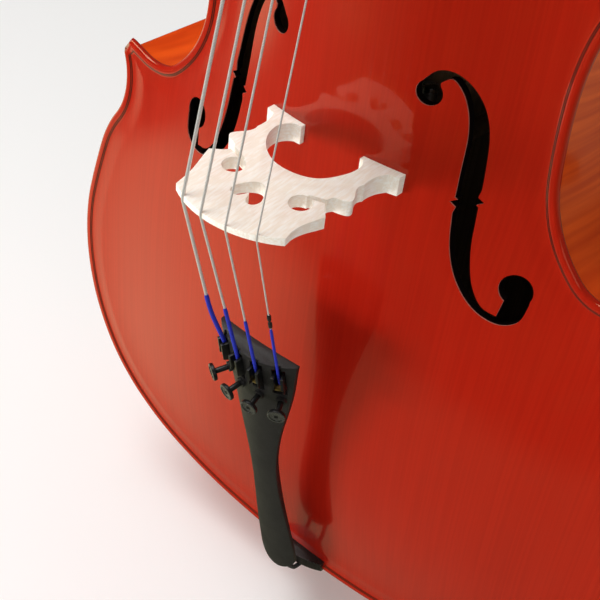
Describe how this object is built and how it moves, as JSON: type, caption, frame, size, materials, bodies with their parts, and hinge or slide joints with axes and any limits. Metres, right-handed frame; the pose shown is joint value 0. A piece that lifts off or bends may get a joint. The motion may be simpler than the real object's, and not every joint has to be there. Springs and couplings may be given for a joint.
{
  "type": "cello",
  "caption": "Full-size cello with arched plates, moulded tailpiece with fine tuners, carved bridge, tapered pegs and a sliding endpin with a clamp.",
  "frame": {"origin": "centre of the bottom face of the endpin rubber tip, with the endpin drawn in", "axes": "+Z along the instrument from the endpin to the scroll, -Y out of the front plate, +X to the treble side"},
  "size_m": [0.451, 0.2626, 1.2663],
  "materials": {
    "spruce_varnish": "gloss",
    "maple_varnish": "gloss",
    "purfling": "gloss",
    "inner_wood": "bare",
    "bare_maple": "bare",
    "ebony": "satin",
    "tail_composite": "matte",
    "black_metal": "gloss",
    "steel": "polished",
    "brass": "polished",
    "string_metal": "wound",
    "silk": "wound",
    "rubber": "matte",
    "cord": "matte"
  },
  "bodies": {
    "cello": {"top_plate": "spruce_varnish", "back_plate": "maple_varnish", "purfling": "purfling", "rib_lower_treble": "maple_varnish", "rib_lower_bass": "maple_varnish", "rib_waist_treble": "maple_varnish", "rib_waist_bass": "maple_varnish", "rib_upper_treble": "maple_varnish", "rib_upper_bass": "maple_varnish", "bottom_block": "inner_wood", "top_block": "inner_wood", "corner_blocks": "inner_wood", "linings": "inner_wood", "bass_bar": "inner_wood", "sound_post": "inner_wood", "neck": "maple_varnish", "fingerboard": "ebony", "saddle": "ebony", "nut": "ebony", "tail_cord": "cord", "tail_cord_nuts": "brass", "endpin_collar": "ebony", "endpin_ferrule": "steel", "tailpiece": "tail_composite", "tuner_pins": "steel", "string_silk": "silk", "bridge": "bare_maple", "string_c": "string_metal", "string_g": "string_metal", "string_d": "string_metal", "string_a": "string_metal"},
    "endpin": {"endpin_rod": "steel", "endpin_tip": "rubber"},
    "clamp_screw": {"clamp_screw": "steel"},
    "clamp_knob": {"clamp_knob": "black_metal"},
    "string_tube": {"string_tube": "rubber"},
    "tuner_screw_c": {"tuner_screw_c": "black_metal"},
    "tuner_knob_c": {"tuner_knob_c": "black_metal"},
    "tuner_lever_c": {"tuner_lever_c": "black_metal", "string_ball_c": "brass"},
    "peg_c": {"peg_c": "ebony", "peg_windings_c": "silk"},
    "tuner_screw_g": {"tuner_screw_g": "black_metal"},
    "tuner_knob_g": {"tuner_knob_g": "black_metal"},
    "tuner_lever_g": {"tuner_lever_g": "black_metal", "string_ball_g": "brass"},
    "peg_g": {"peg_g": "ebony", "peg_windings_g": "silk"},
    "tuner_screw_d": {"tuner_screw_d": "black_metal"},
    "tuner_knob_d": {"tuner_knob_d": "black_metal"},
    "tuner_lever_d": {"tuner_lever_d": "black_metal", "string_ball_d": "brass"},
    "peg_d": {"peg_d": "ebony", "peg_windings_d": "silk"},
    "tuner_screw_a": {"tuner_screw_a": "black_metal"},
    "tuner_knob_a": {"tuner_knob_a": "black_metal"},
    "tuner_lever_a": {"tuner_lever_a": "black_metal", "string_ball_a": "brass"},
    "peg_a": {"peg_a": "ebony", "peg_windings_a": "silk"}
  },
  "joints": [
    {"name": "endpin_slide", "type": "slide", "parent": "cello", "child": "endpin", "axis": [0, 0, -1], "range_m": [0, 0.32]},
    {"name": "clamp_screw_travel", "type": "slide", "parent": "cello", "child": "clamp_screw", "axis": [1, 0, 0], "range_m": [0, 0.003]},
    {"name": "clamp_knob_turn", "type": "hinge", "parent": "clamp_screw", "child": "clamp_knob", "pos_m": [0.02, 0, 0.036], "axis": [1, 0, 0], "range_deg": [-5, 1085]},
    {"name": "string_tube_slide", "type": "slide", "parent": "cello", "child": "string_tube", "axis": [0.0286, -0.2873, 0.9574], "range_m": [0, 0.0552]},
    {"name": "tuner_screw_c_travel", "type": "slide", "parent": "cello", "child": "tuner_screw_c", "axis": [0.454, 0.8682, 0.2004], "range_m": [0, 0.003]},
    {"name": "tuner_knob_c_turn", "type": "hinge", "parent": "tuner_screw_c", "child": "tuner_knob_c", "pos_m": [-0.02451, -0.13953, 0.26037], "axis": [0.454, 0.8682, 0.2004], "range_deg": [-5, 1547.86]},
    {"name": "tuner_lever_c_tilt", "type": "hinge", "parent": "cello", "child": "tuner_lever_c", "pos_m": [-0.01607, -0.12766, 0.28261], "axis": [0.891, -0.4424, -0.1021], "range_deg": [-1, 10.05]},
    {"name": "peg_c_turn", "type": "hinge", "parent": "cello", "child": "peg_c", "pos_m": [0, -0.0232, 1.10254], "axis": [-1, 0, 0], "continuous": true},
    {"name": "tuner_screw_g_travel", "type": "slide", "parent": "cello", "child": "tuner_screw_g", "axis": [0.1564, 0.9624, 0.2222], "range_m": [0, 0.003]},
    {"name": "tuner_knob_g_turn", "type": "hinge", "parent": "tuner_screw_g", "child": "tuner_knob_g", "pos_m": [-0.00845, -0.14462, 0.2592], "axis": [0.1564, 0.9624, 0.2222], "range_deg": [-5, 1547.86]},
    {"name": "tuner_lever_g_tilt", "type": "hinge", "parent": "cello", "child": "tuner_lever_g", "pos_m": [-0.00554, -0.131, 0.28184], "axis": [0.9877, -0.1524, -0.0352], "range_deg": [-1, 10.05]},
    {"name": "peg_g_turn", "type": "hinge", "parent": "cello", "child": "peg_g", "pos_m": [0, -0.00844, 1.15677], "axis": [-1, 0, 0], "continuous": true},
    {"name": "tuner_screw_d_travel", "type": "slide", "parent": "cello", "child": "tuner_screw_d", "axis": [-0.1564, 0.9624, 0.2222], "range_m": [0, 0.003]},
    {"name": "tuner_knob_d_turn", "type": "hinge", "parent": "tuner_screw_d", "child": "tuner_knob_d", "pos_m": [0.00845, -0.14462, 0.2592], "axis": [-0.1564, 0.9624, 0.2222], "range_deg": [-5, 1547.86]},
    {"name": "tuner_lever_d_tilt", "type": "hinge", "parent": "cello", "child": "tuner_lever_d", "pos_m": [0.00554, -0.131, 0.28184], "axis": [0.9877, 0.1524, 0.0352], "range_deg": [-1, 10.05]},
    {"name": "peg_d_turn", "type": "hinge", "parent": "cello", "child": "peg_d", "pos_m": [0, 0.00076, 1.18355], "axis": [1, 0, 0], "continuous": true},
    {"name": "tuner_screw_a_travel", "type": "slide", "parent": "cello", "child": "tuner_screw_a", "axis": [-0.454, 0.8682, 0.2004], "range_m": [0, 0.003]},
    {"name": "tuner_knob_a_turn", "type": "hinge", "parent": "tuner_screw_a", "child": "tuner_knob_a", "pos_m": [0.02451, -0.13953, 0.26037], "axis": [-0.454, 0.8682, 0.2004], "range_deg": [-5, 1547.86]},
    {"name": "tuner_lever_a_tilt", "type": "hinge", "parent": "cello", "child": "tuner_lever_a", "pos_m": [0.01607, -0.12766, 0.28261], "axis": [0.891, 0.4424, 0.1021], "range_deg": [-1, 10.05]},
    {"name": "peg_a_turn", "type": "hinge", "parent": "cello", "child": "peg_a", "pos_m": [0, -0.01643, 1.12976], "axis": [1, 0, 0], "continuous": true}
  ],
  "couplings": [
    {"joint": "clamp_knob_turn", "follows": "clamp_screw_travel", "rad_per_m": 6283.2},
    {"joint": "tuner_knob_c_turn", "follows": "tuner_screw_c_travel", "rad_per_m": 8976},
    {"joint": "tuner_lever_c_tilt", "follows": "tuner_screw_c_travel", "rad_per_m": 52.632},
    {"joint": "tuner_knob_g_turn", "follows": "tuner_screw_g_travel", "rad_per_m": 8976},
    {"joint": "tuner_lever_g_tilt", "follows": "tuner_screw_g_travel", "rad_per_m": 52.632},
    {"joint": "tuner_knob_d_turn", "follows": "tuner_screw_d_travel", "rad_per_m": 8976},
    {"joint": "tuner_lever_d_tilt", "follows": "tuner_screw_d_travel", "rad_per_m": 52.632},
    {"joint": "tuner_knob_a_turn", "follows": "tuner_screw_a_travel", "rad_per_m": 8976},
    {"joint": "tuner_lever_a_tilt", "follows": "tuner_screw_a_travel", "rad_per_m": 52.632}
  ]
}
